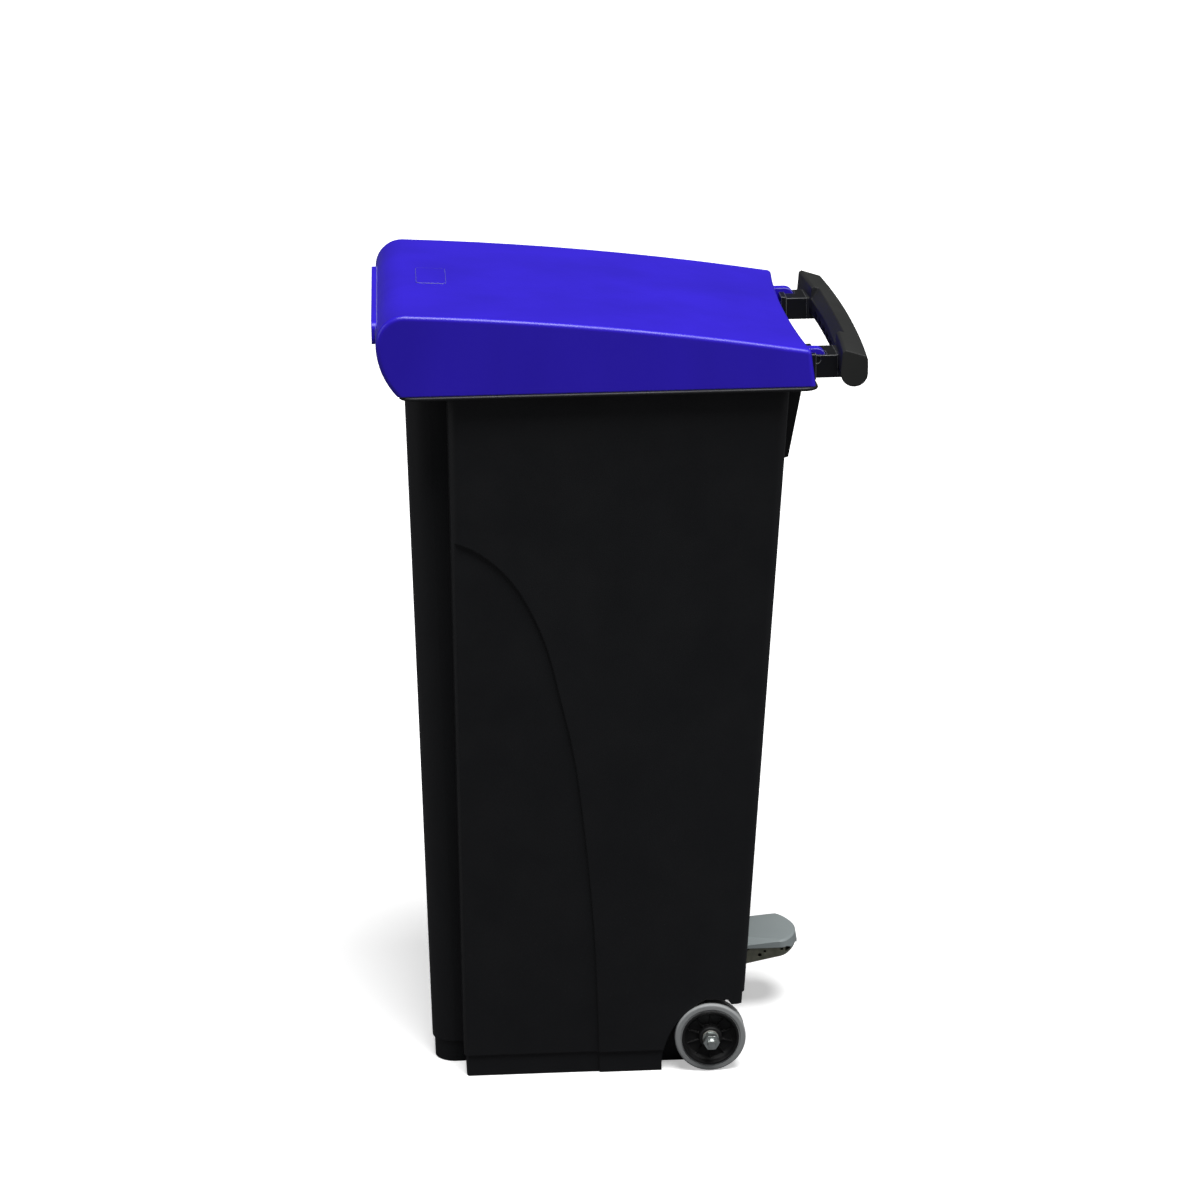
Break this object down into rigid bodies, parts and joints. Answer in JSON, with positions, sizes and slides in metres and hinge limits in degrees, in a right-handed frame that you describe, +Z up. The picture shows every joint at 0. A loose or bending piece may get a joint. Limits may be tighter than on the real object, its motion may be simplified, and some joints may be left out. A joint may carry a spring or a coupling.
{
  "type": "wheelie bin",
  "caption": "Two-wheeled pedal bin with a hinged lid, bar handle at the rear, rear pedal and push rod that lifts the lid, and a styled side panel.",
  "frame": {"origin": "on the ground, under the middle of the bin's overall box", "axes": "+Z up, -Y the front with the lid's lip, +Y the rear with handle, wheels and pedal, X along the axle"},
  "size_m": [0.4376, 0.532, 0.88],
  "materials": {
    "body_black": "satin moulded, fine grain",
    "lid_blue": "satin moulded, saturated blue",
    "grip_black": "matt, fine grain",
    "zinc_steel": "bright zinc plated",
    "olive_steel": "passivated zinc, dull olive",
    "pedal_grey": "satin moulded light grey",
    "tyre_grey": "smooth grey rubber",
    "hub_black": "satin black",
    "bush_nylon": "natural nylon",
    "buffer_rubber": "soft black rubber"
  },
  "bodies": {
    "bin": {"body_shell": "body_black", "handle_grip": "grip_black", "grip_screws": "zinc_steel", "lid_buffers": "buffer_rubber", "axle": "zinc_steel", "axle_spacers": "bush_nylon", "axle_washers": "zinc_steel", "axle_nut_left": "zinc_steel", "axle_nut_right": "zinc_steel", "pedal_bracket": "zinc_steel", "bracket_screws": "zinc_steel", "pedal_shaft": "zinc_steel", "shaft_rings": "zinc_steel", "rod_guide_lower": "hub_black", "rod_guide_upper": "hub_black", "guide_screws": "zinc_steel", "hinge_pin_left": "hub_black", "hinge_pin_right": "hub_black"},
    "lid": {"lid_shell": "lid_blue", "lid_pad": "lid_blue", "strike_plate": "zinc_steel"},
    "pedal": {"pedal_lever": "olive_steel", "pedal_cover": "pedal_grey", "cover_screws": "zinc_steel"},
    "push_rod_body": {"push_rod": "zinc_steel", "rod_cap": "hub_black", "rod_pin_rings": "zinc_steel"},
    "wheel_left": {"tyre_left": "tyre_grey", "wheel_hub_left": "hub_black", "hub_bush_left": "bush_nylon"},
    "wheel_right": {"tyre_right": "tyre_grey", "wheel_hub_right": "hub_black", "hub_bush_right": "bush_nylon"}
  },
  "joints": [
    {"name": "lid_hinge", "type": "hinge", "parent": "bin", "child": "lid", "pos_m": [0, 0.2096, 0.812], "axis": [-1, 0, 0], "range_deg": [0, 88]},
    {"name": "pedal_pivot", "type": "hinge", "parent": "bin", "child": "pedal", "pos_m": [0, 0.128, 0.069], "axis": [-1, 0, 0], "range_deg": [0, 36.2]},
    {"name": "rod_slide", "type": "slide", "parent": "bin", "child": "push_rod_body", "axis": [0, 0.1453, 0.9894], "range_m": [0, 0.0292]},
    {"name": "wheel_spin_left", "type": "hinge", "parent": "bin", "child": "wheel_left", "pos_m": [-0.1888, 0.09, 0.04], "axis": [1, 0, 0], "continuous": true},
    {"name": "wheel_spin_right", "type": "hinge", "parent": "bin", "child": "wheel_right", "pos_m": [0.1888, 0.09, 0.04], "axis": [1, 0, 0], "continuous": true}
  ],
  "couplings": [
    {"joint": "pedal_pivot", "follows": "lid_hinge", "ratio": 0.40907},
    {"joint": "rod_slide", "follows": "lid_hinge", "m_per_rad": 0.018871}
  ]
}
